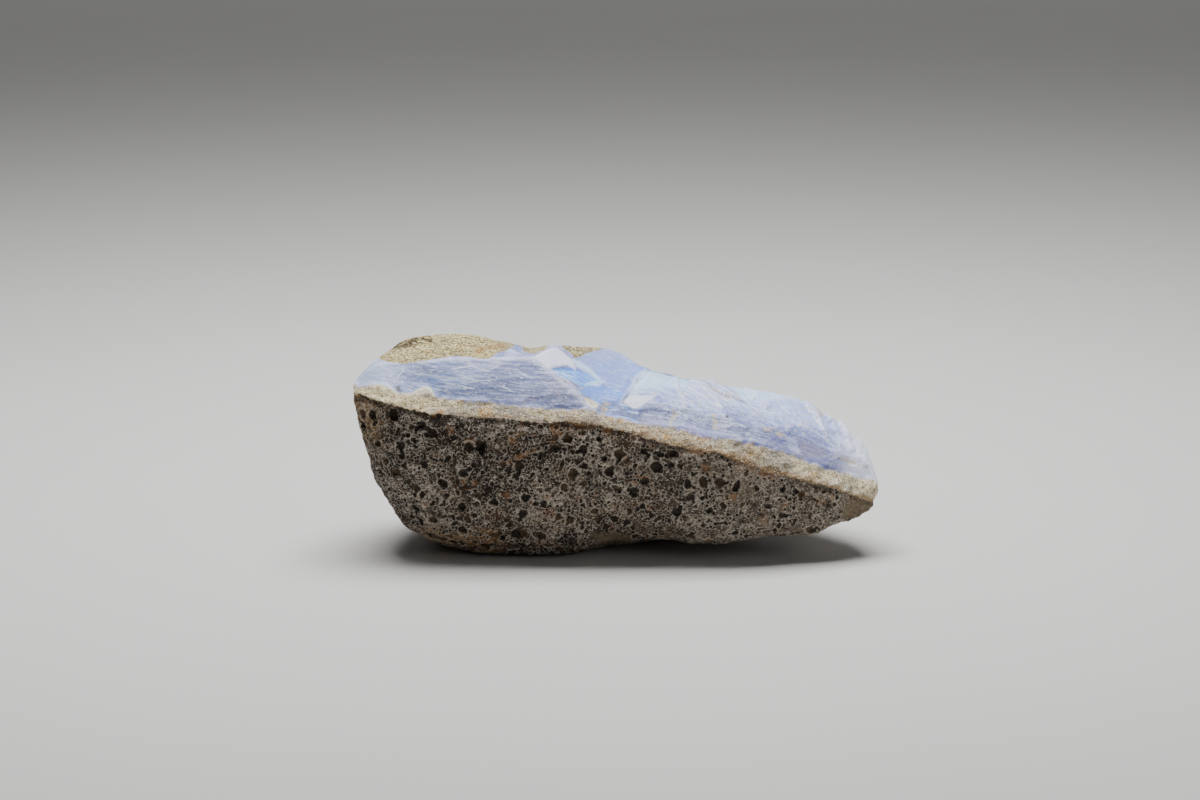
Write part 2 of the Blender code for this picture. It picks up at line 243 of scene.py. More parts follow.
# Attributes that hold outlined marks: the softness of their edge in pixels, and their outlines.
MARKS = {
    "white": (3.0, [WHITE_FACET, RIGHT_CHIP]),
    "cream": (3.0, [LEFT_CHIP, TAN_BUMP]),
    "vivid": (3.0, [VIVID_WALL]),
    # grey: painted shade on two small facets.
    "grey": (3.0, [SHADED_TRIANGLE, NICK_SHADE]),
    "pale_band": (4.0, PALE_BANDS),
    "dusk_band": (4.0, DUSK_BANDS + [HOLLOW_SHADE, LENS]),
    "umber": (2.5, [UMBER_STREAK]),
    "rust": (2.0, [RUST_STREAK]),
    "tan_fleck": (1.0, TAN_FLECKS),
    "black_fleck": (0.9, BLACK_FLECKS)}

# Pale facets, and how far facets stand out: with the softness of each one's edge in pixels.
PALE_FACETS = [(1.0, PALE_LIP), (1.2, PALE_FOOT), (4.0, LOBE), (3.0, SKY_FLAKE)]
FACET_STEPS = [(-0.14, LENS, 2.5), (-0.25, RIGHT_CHIP, 1.2), (-0.3, LEFT_CHIP, 0.8), (0.3, TAN_BUMP, 2.5)]

# The wall of the hollow: its depth, which fades out downwards between two rows of the photograph at one of
# its columns, and how much those rows rise for each column further right.
WALL_DENT = 0.6
CREASE_COLUMN = 575
CREASE_RISE = 0.25
CREASE_ROWS = (361, 386)

# Thin pale scratches, a painted highlight along the ridge at the hollow's edge, and brown edges of the broken
# vein, and about half their width in pixels.
PALE_LINES = [
    [(446, 370.5), (458, 368), (472, 366), (480, 369), (488, 371), (494, 368), (500, 364.5)],
    [(396.6, 378), (401.7, 373), (403.4, 369)],
    [(446.4, 383.4), (462, 386), (472.2, 388.6)],
    [(499.7, 386), (506, 388), (511.7, 391)],
    [(436, 389.5), (444, 391), (452, 393.5)],
    [(501.4, 371.4), (510, 369.4), (517, 369.7), (525.5, 374.8)],
    [(386, 384), (394, 391), (406, 394)],
    # Painted highlight along the ridge at the hollow's edge.
    [(527, 354), (548, 364.8), (568.4, 381.7), (586, 399), (594, 407)],
    [(463, 376), (476, 381), (490, 380)],
    [(541, 366), (560, 370), (574, 376)],
    [(682, 381), (702, 393), (726, 410)],
    [(694, 378), (710, 387), (730, 403)],
    [(708, 379), (720, 386), (740, 398)],
    [(677.6, 378), (679, 388), (682, 397)],
    [(664, 374), (674, 384), (680, 392)],
    [(740, 384), (750, 395), (758, 401), (770, 397), (798, 396)],
    [(742, 405), (760, 410), (790, 414)],
    [(798, 397), (809, 407), (818, 419), (830, 441)],
    [(818, 405), (836, 419), (850, 435)],
    [(830, 411), (848, 424), (864, 441)],
    [(846, 439), (858, 450), (872, 462)],
    [(790, 420), (812, 428), (836, 446)],
    [(650, 402), (668, 403), (690, 409)],
    [(700, 418), (724, 421), (744, 426)],
    [(648, 369), (640, 376), (632, 388)]]
BROWN_LINES = [
    [(622.4, 400), (627, 404.5), (633, 408.5), (640, 406), (647, 401.5), (654, 397.5)],
    [(622, 400), (628, 394)],
    [(679, 388), (690, 398), (701, 406)],
    [(704, 381), (716, 389), (728, 398), (748, 403.5)],
    [(690, 378), (706, 383), (722, 386), (740, 394)],
    [(816, 405), (822, 408), (819, 415)],
    [(541, 381), (560, 380), (576, 385)],
    [(552, 389), (570, 388), (584, 393)],
    [(519, 405), (527, 399), (541, 395.5), (562, 395.5), (583, 396)]]
LINES = {"pale_line": PALE_LINES, "brown_line": BROWN_LINES}
LINE_WIDTH = 0.45

# Edges of flakes on the broken top: how far the flake on the left of the line stands out, and the line.
FLAKES = [
    (-0.5, [(646, 371), (640, 376), (635, 381), (632, 388), (628, 393)]),
    (-0.35, [(677, 376), (678, 386), (683, 396), (687, 402)]),
    (0.4, [(688, 377), (697, 384), (707, 393), (716, 402), (724, 410)]),
    (0.35, [(702, 378), (712, 386), (726, 396), (736, 405)]),
    (-0.3, [(719, 395), (735, 396), (751, 403)]),
    (0.4, [(742, 386), (750, 394), (757, 402)]),
    (-0.35, [(757, 402), (770, 398), (790, 397), (803, 399)]),
    (0.45, [(798, 396), (808, 405), (818, 418), (822, 428)]),
    (0.4, [(817, 404), (829, 417), (838, 432)]),
    (0.4, [(834, 415), (843, 429), (850, 444)]),
    (-0.3, [(846, 439), (856, 449), (866, 462)])]

# How many pixels a flake's step reaches, the factor on its height, the shares of its length past which it
# grows no weaker towards its ends, and the pixels from its edge where its stained seam starts and is full.
FLAKE_REACH = 6.0
FLAKE_SHARE = 1.1
FLAKE_ENDS = (0.06, 0.94)
SEAM_GAPS = (1.6, 0.4)

# Shell-shaped scars of the broken vein: how many, the size of the balls that bit them, how deep those bit,
# how far they reached and leant, how likely they are left of the middle, and the seed.
SCARS = 70
SCAR_BALLS = (6.0, 15.0)
SCAR_DEPTHS = (0.08, 0.3)
SCAR_REACH = 1.1
SCAR_LEAN = 0.3
SCARS_AT_LEFT = 0.25
SCAR_SEED = 5

# Pits sunk into the host rock, layer by layer: spacing, width, depth as a share of the width, and seed.
PIT_LAYERS = [(3.4, 2.3, 0.3, 3), (1.15, 1.15, 0.34, 8)]

# The least gap between pits as a share of their spacing, the shares of the full width that they have, and the
# length and reach of the swirls that bend their outlines.
PIT_GAP = 0.6
PIT_SIZES = (0.3, 1.0)
SWIRL_LENGTH = 1.4
SWIRL_REACH = 1.2

# The kept distances of what is far from any pit, in radii of a pit, and far from any line, in pixels.
FAR_FROM_PITS = 9.0
FAR_FROM_LINES = 20.0


def linear(screen):
    """A screen value of 0 to 255, as the linear value that a shader takes."""
    return screen / 255 / 12.92 if screen <= 10 else ((screen / 255 + 0.055) / 1.055) ** 2.4


def palette(**colours):
    """Colours by name, each given by its red, green and blue screen values."""
    return SimpleNamespace(**{name: (*map(linear, screen), 1.0) for name, screen in colours.items()})


ROCK = palette(
    dark_ground=(46, 34, 25), light_ground=(140, 127, 110), pale_crystal=(196, 188, 176),
    # Of these, the pale colour laid over the host rock towards its right is painted light.
    dark_crystal=(32, 25, 20), brown=(104, 76, 46), rust=(142, 94, 48), dust=(176, 164, 146),
    # Of these, the near black inside pits is painted shade, and the pale rim colour a painted highlight on
    # pit edges.
    ochre=(150, 112, 62), streak=(34, 26, 20), rim=(192, 183, 168), deep_pit=(20, 16, 12),
    brown_pit=(74, 56, 34), pit_grain=(92, 80, 66), dark_lip=(40, 28, 18), brown_lip=(120, 76, 34),
    dark_plate=(84, 70, 52), light_plate=(134, 120, 98))
CRUST = palette(
    cream=(246, 233, 194), pale_tan=(210, 194, 158), pale_end=(242, 230, 200), warm_tan=(212, 190, 146),
    grey_brown=(146, 130, 108), sandy_end=(224, 206, 168), grey=(156, 152, 146), ochre=(196, 140, 52),
    orange_foot=(188, 140, 76), brown_foot=(100, 72, 42), crumb=(112, 88, 56), glint=(248, 242, 222))
VEIN = palette(
    left_blue=(96, 125, 184), left_lavender=(116, 129, 186), left_lilac=(142, 138, 184),
    right_blue=(68, 90, 184), right_lavender=(92, 98, 194), right_foot=(72, 80, 134),
    right_grey=(108, 112, 168), light_bed=(180, 184, 226), dark_bed=(110, 130, 186),
    pale_band=(196, 206, 242), dusk_band=(88, 104, 148), lace=(206, 214, 246), light_mottle=(190, 200, 240),
    dark_mottle=(112, 126, 176), light_speck=(210, 220, 248), dark_speck=(96, 106, 150))
BROKEN = palette(
    blue_fibre=(154, 184, 254), white_fibre=(236, 243, 255), sky_fibre=(160, 208, 255),
    dull_fibre=(164, 174, 222), lavender=(160, 166, 236), tan_fibre=(206, 196, 196), seam=(176, 164, 160),
    # Of these, the palest colour at the right tip is painted light.
    thick_end=(206, 216, 240), thin_end=(230, 236, 255))
GLASS = palette(
    deep_blue=(92, 144, 230), grey_blue=(138, 152, 204), light_ripple=(206, 224, 250),
    dark_ripple=(100, 126, 178), shade=(62, 76, 120), vivid_blue=(64, 128, 228), vivid_sky=(126, 184, 250))
MARK = palette(
    scratch=(240, 240, 246), white_fleck=(240, 238, 236), white=(227, 230, 254), pale=(188, 220, 255),
    # Of these, the grey for two small facets is painted shade.
    grey=(140, 138, 166), dark_cream=(176, 156, 120), light_cream=(240, 230, 204), tan_fleck=(206, 184, 136),
    # Of these, the darker blue for hollows is painted shade, and the near white for ridges a painted
    # highlight.
    dent=(112, 130, 188), worn=(236, 240, 252), brown_line=(150, 128, 112), pale_line=(240, 242, 250),
    black_fleck=(36, 32, 34))
TAN = palette(
    dark=(106, 84, 42), light=(246, 232, 172), olive=(158, 154, 122), crumb=(104, 82, 50), umber=(52, 30, 16),
    rust=(172, 108, 34), glint=(236, 228, 200), grey=(146, 144, 124))
PAPER = palette(dark=(201, 200, 198), light=(205, 204, 202))


def fade(values, low, high):
    """0 below low, 1 above high, and smooth between."""
    t = np.clip((values - low) / (high - low), 0, 1)
    return t * t * (3 - 2 * t)


def along(line, x):
    """(y, z) of an edge line at each x."""
    table = np.array(line, float)
    return np.interp(x, table[:, 0], table[:, 1]), np.interp(x, table[:, 0], table[:, 2])


def height_over(line, points):
    """Height of each point over the sheet that an edge line of the front face spans towards the back."""
    y, z = along(line, points[:, 0])
    return points[:, 2] - z - CONTACT_LEAN * (points[:, 1] - y)


def upper_contact(points):
    """Height of the vein's upper contact at each point, far above the stone where its skin has broken off."""
    table = np.array(TOP_SKIN, float)
    return np.interp(points[:, 0], table[:, 0], table[:, 1])


def waves(points, length, seed, stretch=(1, 1, 1)):
    """Seeded smooth noise of about -1 to 1, with one wave per length, longer where stretch is larger."""
    size = np.array(stretch, float) * length
    shift = Vector((17.3 * seed, -9.1 * seed, 5.7 * seed))
    return np.array([noise.noise(Vector(p) + shift) for p in points / size]) * 2


def laid(kind, points, layers):
    """The sum of some layers of waves or splinters."""
    return sum(height * kind(points, length, seed, stretch) for height, length, seed, stretch in layers)


def splinters(points, length, seed, stretch=(1, 1, 1)):
    """Heights of small flat faces about one length wide, each tilted its own way, as in a splintery break."""
    size = np.array(stretch, float) * length
    shift = Vector((11.9 * seed, 4.3 * seed, -7.7 * seed))
    heights = np.empty(len(points))
    for i, p in enumerate(points / size):
        place = Vector(p) + shift
        middle = noise.voronoi(place)[1][0]
        tilt = noise.cell_vector(middle * 31.7) - Vector((0.5, 0.5, 0.5))
        heights[i] = tilt.dot(place - middle) * 2
    return heights


def turned(points, turn):
    """The points turned about the upright axis, so that x runs along a grain that lies that far from +X."""
    x, y, z = points.T
    cosine, sine = math.cos(math.radians(turn)), math.sin(math.radians(turn))
    return np.stack([x * cosine + y * sine, y * cosine - x * sine, z], axis=1)


def make_plain(piece):
    """Turns what the modifiers make of a piece into its plain mesh."""
    depsgraph = bpy.context.evaluated_depsgraph_get()
    plain = bpy.data.meshes.new_from_object(piece.evaluated_get(depsgraph))
    piece.modifiers.clear()
    piece.data = plain


def copy_of_solid():
    """The CAD solid merged and remeshed finely, as a new object."""
    shape = bmesh.new()
    shape.from_mesh(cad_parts[STONE].data)
    bmesh.ops.remove_doubles(shape, verts=shape.verts, dist=MERGED * MM)
    mesh = bpy.data.meshes.new(STONE_PIECE)
    shape.to_mesh(mesh)
    shape.free()
    stone = bpy.data.objects.new(STONE_PIECE, mesh)
    bpy.context.scene.collection.objects.link(stone)
    remesh = stone.modifiers.new("fine_surface", "REMESH")
    remesh.mode = "VOXEL"
    remesh.voxel_size = GRAIN * MM
    smooth = stone.modifiers.new("even", "SMOOTH")
    smooth.factor = 0.5
    smooth.iterations = 2
    make_plain(stone)
    return stone


def vectors_of(layer, name):
    """One vector for each point, read from a mesh's list."""
    flat = np.empty(len(layer) * 3, np.float32)
    layer.foreach_get(name, flat)
    return flat.reshape(-1, 3).astype(float)


def points_of(mesh):
    """Places of the mesh's points in the lofting lines' millimetres."""
    return vectors_of(mesh.vertices, "co") / MM + LOFT_ORIGIN


def normals_of(mesh):
    """Which way the surface faces at each of the mesh's points."""
    return vectors_of(mesh.vertex_normals, "vector")


def put_points(mesh, points):
    """Writes the points back, held inside the CAD box."""
    places = (points - LOFT_ORIGIN) * MM
    low, high = (np.array(corner) for corner in CAD_BOX)
    places = np.clip(places, low + np.array([INSIDE, INSIDE, 0]) * MM, high - INSIDE * MM)
    mesh.vertices.foreach_set("co", places.astype(np.float32).ravel())
    mesh.update()


def keep(mesh, name, values):
    """Stores one number per point under a name that the material reads."""
    layer = mesh.attributes.new(name, "FLOAT", "POINT")
    layer.data.foreach_set("value", np.asarray(values, np.float32))


def softened(mesh, points, share, rounds):
    """The points after rounds of moving towards the mean of their neighbours by a share of the way."""
    ends = np.empty(len(mesh.edges) * 2, np.int32)
    mesh.edges.foreach_get("vertices", ends)
    first, second = ends.reshape(-1, 2).T
    here, there = np.concatenate([first, second]), np.concatenate([second, first])
    count = np.bincount(here, minlength=len(points))
    for _ in range(rounds):
        means = [np.bincount(here, column[there], len(points)) / count for column in points.T]
        points = points + (np.stack(means, axis=1) - points) * share
    return points


def in_photo(points):
    """Where each point is seen in the photograph, in its pixels."""
    side, away, up = (points - LOOKED_AT).T
    depth = CAMERA_DISTANCE + away * math.cos(CAMERA_TILT) - up * math.sin(CAMERA_TILT)
    rise = up * math.cos(CAMERA_TILT) + away * math.sin(CAMERA_TILT)
    across = FRAME_PX[0] / 2 + FOCAL_PX * side / depth
    down = FRAME_PX[1] / 2 - FOCAL_PX * rise / depth
    return np.stack([across, down], axis=1)


def turn_to_camera(normals):
    """How far the surface is turned to the photograph's camera: 1 faces it, 0 is edge on, below 0 is away."""
    return normals @ np.array([0, -math.cos(CAMERA_TILT), math.sin(CAMERA_TILT)])


def lengths_of(line):
    """The start and end of each straight length of a line."""
    corners = np.array(line, float)
    return zip(corners, corners[1:])


def from_length(seen, start, end):
    """For each place, its share of the way along a length, its distance, and above 0 if at its right."""
    step = end - start
    share = np.clip(((seen - start) @ step) / (step @ step), 0, 1)
    apart = seen - start - share[:, None] * step
    side = step[0] * apart[:, 1] - step[1] * apart[:, 0]
    return share, np.linalg.norm(apart, axis=1), side


def patch(seen, outline, soft):
    """1 inside an outline, 0 outside, fading over soft pixels to each side of its edge."""
    inside = np.zeros(len(seen), bool)
    nearest = np.full(len(seen), np.inf)
    for start, end in lengths_of(outline + outline[:1]):
        if start[1] != end[1]:
            crosses = (start[1] > seen[:, 1]) != (end[1] > seen[:, 1])
            at = start[0] + (seen[:, 1] - start[1]) / (end[1] - start[1]) * (end[0] - start[0])
            inside ^= crosses & (seen[:, 0] < at)
        nearest = np.minimum(nearest, from_length(seen, start, end)[1])
    return fade(np.where(inside, nearest, -nearest), -soft, soft)


def any_patch(seen, outlines, soft):
    """1 inside any of some outlines, 0 outside them all."""
    return np.maximum.reduce([patch(seen, outline, soft) for outline in outlines])


def flake_edge(seen, line):
    """1 close to the left side of a line and -1 close to its right, fading to 0 far off and at its ends."""
    edge = np.zeros(len(seen))
    nearest = np.full(len(seen), np.inf)
    for number, (start, end) in enumerate(lengths_of(line)):
        share, gap, side = from_length(seen, start, end)
        passed = (number + share) / (len(line) - 1)
        strength = np.sin(np.pi * np.clip(passed, *FLAKE_ENDS)) ** 0.5
        edge = np.where(gap < nearest, np.where(side < 0, strength, -strength), edge)
        nearest = np.minimum(nearest, gap)
    return edge * np.exp(-nearest / FLAKE_REACH)


def line_gap(seen, lines):
    """Distance to the nearest of some lines in pixels, above 0 at its left side and below 0 at its right."""
    nearest = np.full(len(seen), FAR_FROM_LINES)
    for line in lines:
        for start, end in lengths_of(line):
            _, gap, side = from_length(seen, start, end)
            nearest = np.where(gap < np.abs(nearest), np.where(side > 0, -gap, gap), nearest)
    return nearest


class Surface:
    """The points of the stone's fine surface as they lie before they are moved, and what each is part of."""

    def __init__(self, mesh):
        self.mesh = mesh
        self.points = points_of(mesh)
        self.normals = normals_of(mesh)
        self.seen = in_photo(self.points)
        self.over_host = height_over(HOST_EDGE, self.points)
        self.over_vein = height_over(VEIN_EDGE, self.points)
        self.over_brow = height_over(BROW_EDGE, self.points)
        self.host = fade(-self.over_host, 0, CONTACT_FADE)
        self.vein = fade(self.over_vein, 0, CONTACT_FADE)
        self.contact = (1 - self.host) * (1 - self.vein)
        self.facing = turn_to_camera(softened(mesh, self.normals, 0.5, FACING_ROUNDS))
        self.front = fade(self.facing, *MARKS_FACING)

    def marks(self, outlines, soft):
        """Some outlined marks, only where the photograph's camera sees them."""
        return self.front * any_patch(self.seen, outlines, soft)


def bite_scars(points, normals, vein):
    """The points after seeded balls have bitten shallow shells out of the vein's broken faces."""
    chance = np.random.default_rng(SCAR_SEED)
    share = np.where(points[:, 0] > 0, 1, SCARS_AT_LEFT)
    open_faces = np.flatnonzero((vein > 0.9) & (chance.random(len(vein)) < share))
    moved = points.copy()
    for _ in range(SCARS):
        here = chance.choice(open_faces)
        ball = chance.uniform(*SCAR_BALLS)
        depth = chance.uniform(*SCAR_DEPTHS)
        lean = normals[here] + chance.uniform(-SCAR_LEAN, SCAR_LEAN, 3)
        middle = points[here] + lean / np.linalg.norm(lean) * (ball - depth)
        apart = moved - middle
        gap = np.linalg.norm(apart, axis=1)
        near = np.linalg.norm(moved - points[here], axis=1) < SCAR_REACH * math.sqrt(2 * ball * depth)
        push = np.clip(ball - gap, 0, depth) * near * vein
        moved = moved + apart / np.maximum(gap, 0.001)[:, None] * push[:, None]
    return moved


def shape_rock(at):
    """Lumps and grain of the host rock, and of the contact over it, which end at the flat spot."""
    lumps = at.host * laid(waves, at.points, ROCK_WAVES)
    crumbs = at.contact * laid(waves, at.points, CONTACT_WAVES)
    return at.normals * (lumps + crumbs)[:, None] * fade(at.points[:, 2], *SOLE_FADE)[:, None]


def shape_vein(at):
    """Broken faces of the chalcedony: splinters drawn out along the bands or the fibres, and flakes."""
    bands = laid(splinters, at.points, [FINE_STEPS]) + laid(waves, at.points, [FINE_WAVES])
    bands = bands + laid(splinters, at.points, [BROAD_STEPS])
    fibres = laid(splinters, turned(at.points, FIBRE_TURN), [FIBRE_STEPS])
    on_top = fade(at.points[:, 0], *FIBRES_FROM_X) * fade(at.over_brow, *FIBRES_OVER_BROW)
    mixed = bands * (1 - on_top) + fibres * on_top
    flakes = sum(rise * flake_edge(at.seen, line) for rise, line in FLAKES)
    smooth_face = at.marks([BACK_FACE], soft=3)
    return at.vein * mixed * (1 - 0.9 * smooth_face) + at.front * at.vein * FLAKE_SHARE * flakes


def shape_facets(at, height):
    """The height with the dents and steps of the facets around the hollow."""
    across, down = at.seen.T
    crease = fade(down + CREASE_RISE * (across - CREASE_COLUMN), *CREASE_ROWS)
    height = height - at.marks([VIVID_WALL], soft=2.5) * WALL_DENT * (1 - crease)
    for step, outline, soft in FACET_STEPS:
        height = height + at.front * step * patch(at.seen, outline, soft)
    return height


def move_points(at):
    """Softens, chips, roughens and steps the surface, and draws out the thin end."""
    calm = at.marks([CALM_PLACES, SKIN], soft=3)
    ridge = 0.5 * at.marks([SOFT_RIDGE], soft=4)
    moved = softened(at.mesh, at.points, ridge[:, None], RIDGE_ROUNDS)
    moved = bite_scars(moved, at.normals, at.vein * (1 - calm))
    moved = moved + shape_rock(at)
    moved = moved + at.normals * shape_facets(at, shape_vein(at))[:, None]
    groove = at.host * fade(at.over_host, *GROOVE_HEIGHTS)
    moved = moved - at.normals * (GROOVE_DEPTH * groove)[:, None]
    moved[:, 2] += TIP_LIFT * fade(at.points[:, 0], *TIP_LIFTED) * fade(-at.over_host, 0, 5)
    moved[:, 0] += TIP_REACH * fade(at.points[:, 0], *TIP_REACHING) * at.host
    put_points(at.mesh, moved)


def keep_skin_and_facets(at):
    """Keeps the tan skin, the pale facets and the seams, which end raggedly at the back of the top."""
    ragged = waves(at.points, 5, 8)
    near_front = at.front * (1 - fade(at.points[:, 1] + 2 * ragged, *BACK_EDGE))
    skin = any_patch(at.seen, [SKIN, SKIN_BY_NOTCH, SKIN_ON_BACK_FACE], soft=4.0)
    behind = fade(at.points[:, 2] - upper_contact(at.points) + ragged, -1.0, 1.0)
    keep(at.mesh, "skin", near_front * skin + (1 - near_front) * behind)
    pale = np.maximum.reduce([patch(at.seen, outline, soft) for soft, outline in PALE_FACETS])
    keep(at.mesh, "pale", near_front * pale)
    seams = np.maximum.reduce([np.abs(flake_edge(at.seen, line)) for _, line in FLAKES])
    low, high = (math.exp(-gap / FLAKE_REACH) for gap in SEAM_GAPS)
    keep(at.mesh, "seam", near_front * fade(seams, low, high))


def keep_marks(at):
    """Keeps what each point is made of, and the marks that lie on it."""
    keep(at.mesh, "over_host", at.over_host)
    keep(at.mesh, "over_vein", at.over_vein)
    keep(at.mesh, "over_brow", at.over_brow)
    for name, (soft, outlines) in MARKS.items():
        keep(at.mesh, name, at.marks(outlines, soft))
    for name, lines in LINES.items():
        gap = line_gap(at.seen, lines)
        far, close = LINE_REACH
        keep(at.mesh, name, gap)
        keep(at.mesh, name + "_near", fade(at.facing, *LINES_FACING) * fade(-np.abs(gap), -far, -close))
    glassy = np.maximum(0.7 * patch(at.seen, BACK_FACE, soft=1.5), patch(at.seen, HOLLOW_FLOOR, soft=3))
    keep(at.mesh, "clear", at.front * glassy)
    plate = at.marks(PLATES, soft=6.0)
    keep(at.mesh, "plate", plate)
    keep(at.mesh, "host_rock", fade(-at.over_host, 0.5, 1.2) * fade(at.points[:, 2], 0.4, 1.2) * (1 - plate))
    keep(at.mesh, "pit_reach", np.full(len(at.points), FAR_FROM_PITS))
    keep_skin_and_facets(at)


class Socket:
    """A node's output that can be used in Python sums: each operation adds its Math node."""

    def __init__(self, tree, socket):
        self.tree = tree
        self.socket = socket

    def math(self, operation, a, b=0.0):
        return self.tree.node("ShaderNodeMath", {"operation": operation}, {0: a, 1: b})

    def least(self, other):
        return self.math("MINIMUM", self, other)

    def most(self, other):
        return self.math("MAXIMUM", self, other)


def overload(name, operation):
    """Gives sockets a Python operator and its reflected form, so that both mask * 2 and 1 - mask work."""
    setattr(Socket, f"__{name}__", lambda self, other: self.math(operation, self, other))
    setattr(Socket, f"__r{name}__", lambda self, other: self.math(operation, other, self))


for operator, math_node in (("add", "ADD"), ("sub", "SUBTRACT"), ("mul", "MULTIPLY"), ("truediv", "DIVIDE"),
                            ("pow", "POWER")):
    overload(operator, math_node)


class Tree:
    """A node tree that is filled from Python."""

    def __init__(self, tree):
        self.tree = tree

    def node(self, kind, settings=None, values=None, output=0):
        """Adds a node, its settings before its sockets' values or links, and gives one of its outputs."""
        made = self.tree.nodes.new(kind)
        for name, value in (settings or {}).items():
            setattr(made, name, value)
        for name, value in (values or {}).items():
            if isinstance(value, Socket):
                self.tree.links.new(value.socket, made.inputs[name])
            else:
                made.inputs[name].default_value = value
        return Socket(self, made.outputs[output]) if made.outputs else made

    def attribute(self, name):
        return self.node("ShaderNodeAttribute", {"attribute_name": name}, output="Fac")

    def vector(self, operation, a, b):
        return self.node("ShaderNodeVectorMath", {"operation": operation}, {0: a, 1: b})

    def shifted(self, place, *by):
        """The place moved by some millimetres, so that a pattern on it differs from the unmoved one."""
        return self.vector("ADD", place, by)

    def stretched(self, place, turn=(0, 0, 0), stretch=(1, 1, 1)):
        """The place turned by some degrees and then squeezed, so that a pattern on it is drawn out."""
        angles = [math.radians(degrees) for degrees in turn]
        turned = self.node("ShaderNodeMapping", {}, {"Vector": place, "Rotation": angles})
        return self.vector("DIVIDE", turned, stretch)

    def in_millimetres(self):
        """Each place of the object in millimetres."""
        metres = self.node("ShaderNodeTexCoord", output="Object")
        return self.vector("MULTIPLY", metres, (1 / MM, 1 / MM, 1 / MM))

    def rise(self, value, low, high):
        """0 below low, 1 above high, and smooth between; falls instead where low is the larger."""
        if low > high:
            return 1 - self.rise(value, high, low)
        return self.node("ShaderNodeMapRange", {"interpolation_type": "SMOOTHSTEP"},
                         {"Value": value, "From Min": low, "From Max": high})

    def blend(self, share, a, b):
        """Colour a with this share of colour b over it."""
        return self.node("ShaderNodeMix", {"data_type": "RGBA"}, {0: share, 6: a, 7: b}, 2)

    def coats(self, colour, *layers):
        """A colour under some coats, laid in turn: each a share and another colour."""
        for share, over in layers:
            colour = self.blend(share, colour, over)
        return colour

    def cloud(self, place, size, detail=2.0, roughness=0.5):
        """Noise of 0 to 1 with features about this many millimetres wide."""
        return self.node("ShaderNodeTexNoise", {"noise_dimensions": "3D"},
                         {"Vector": place, "Scale": 1 / size, "Detail": detail, "Roughness": roughness})

    def cells(self, place, size, output="Distance"):
        """Seeded cells about this many millimetres wide: distance to the cell's middle, or a colour each."""
        return self.node("ShaderNodeTexVoronoi", {"voronoi_dimensions": "3D", "feature": "F1"},
                         {"Vector": place, "Scale": 1 / size}, output)


def new_pits_group():
    """An empty tree for the pits, with its named inputs and its output."""
    group = bpy.data.node_groups.new("sink_pits", "GeometryNodeTree")
    inputs = {"Stone": "Geometry", "Pit spacing": "Float", "Pit width": "Float", "Pit depth": "Float",
              "Seed": "Int", "Surface": "Material"}
    for name, kind in inputs.items():
        group.interface.new_socket(name, in_out="INPUT", socket_type="NodeSocket" + kind)
    group.interface.new_socket("Stone", in_out="OUTPUT", socket_type="NodeSocketGeometry")
    return group


def bent_places(tree, place):
    """Each place moved a little by seeded swirls, which bend the pits' round outlines."""
    swirl = tree.node("ShaderNodeTexNoise", {},
                      {"Vector": place, "Scale": 1 / (SWIRL_LENGTH * MM), "Detail": 2.0}, "Color")
    about_nought = tree.vector("SUBTRACT", swirl, (0.5, 0.5, 0.5))
    return tree.vector("ADD", place, tree.vector("MULTIPLY", about_nought, [SWIRL_REACH * MM] * 3))


def pits_group():
    """The tree that sinks seeded round pits into host rock, and keeps how far each point is from one."""
    group = new_pits_group()
    tree = Tree(group)
    given = group.nodes.new("NodeGroupInput")
    asked = {socket.name: Socket(tree, socket) for socket in given.outputs if socket.name}
    rock = tree.node("GeometryNodeInputNamedAttribute", {"data_type": "FLOAT"}, {"Name": "host_rock"})
    middles = tree.node("GeometryNodeDistributePointsOnFaces", {"distribute_method": "POISSON"}, {
        "Mesh": asked["Stone"], "Distance Min": asked["Pit spacing"] * (PIT_GAP * MM),
        "Density Max": 1 / (asked["Pit spacing"] * MM) ** 2.0, "Density Factor": rock, "Seed": asked["Seed"]})
    place = tree.node("GeometryNodeInputPosition")
    bent = bent_places(tree, place)
    nearest = tree.node("GeometryNodeSampleNearest", {"domain": "POINT"},
                        {"Geometry": middles, "Sample Position": bent})
    middle = tree.node("GeometryNodeSampleIndex", {"data_type": "FLOAT_VECTOR", "domain": "POINT"},
                       {"Geometry": middles, "Value": place, "Index": nearest})
    chance = tree.node("FunctionNodeRandomValue", {"data_type": "FLOAT"},
                       {2: PIT_SIZES[0], 3: PIT_SIZES[1], "Seed": asked["Seed"]}, 1)
    size = tree.node("GeometryNodeSampleIndex", {"data_type": "FLOAT", "domain": "POINT"},
                     {"Geometry": middles, "Value": chance, "Index": nearest})
    away = tree.node("ShaderNodeVectorMath", {"operation": "DISTANCE"}, {0: bent, 1: middle}, "Value")
    reach = away / (size * asked["Pit width"] * (0.5 * MM))
    bowl = (1 - reach * reach).most(0.0) ** 0.5
    sink = bowl * size * asked["Pit width"] * asked["Pit depth"] * rock * (-MM)
    offset = tree.node("ShaderNodeVectorMath", {"operation": "SCALE"},
                       {0: tree.node("GeometryNodeInputNormal"), "Scale": sink})
    sunk = tree.node("GeometryNodeSetPosition", {}, {"Geometry": asked["Stone"], "Offset": offset})
    before = tree.node("GeometryNodeInputNamedAttribute", {"data_type": "FLOAT"}, {"Name": "pit_reach"})
    marked = tree.node("GeometryNodeStoreNamedAttribute", {"data_type": "FLOAT", "domain": "POINT"},
                       {"Geometry": sunk, "Name": "pit_reach", "Value": before.least(reach)})
    real = tree.node("GeometryNodeRealizeInstances", {}, {"Geometry": marked})
    done = tree.node("GeometryNodeSetMaterial", {}, {"Geometry": real, "Material": asked["Surface"]})
    out = group.nodes.new("NodeGroupOutput")
    group.links.new(done.socket, out.inputs["Stone"])
    return group


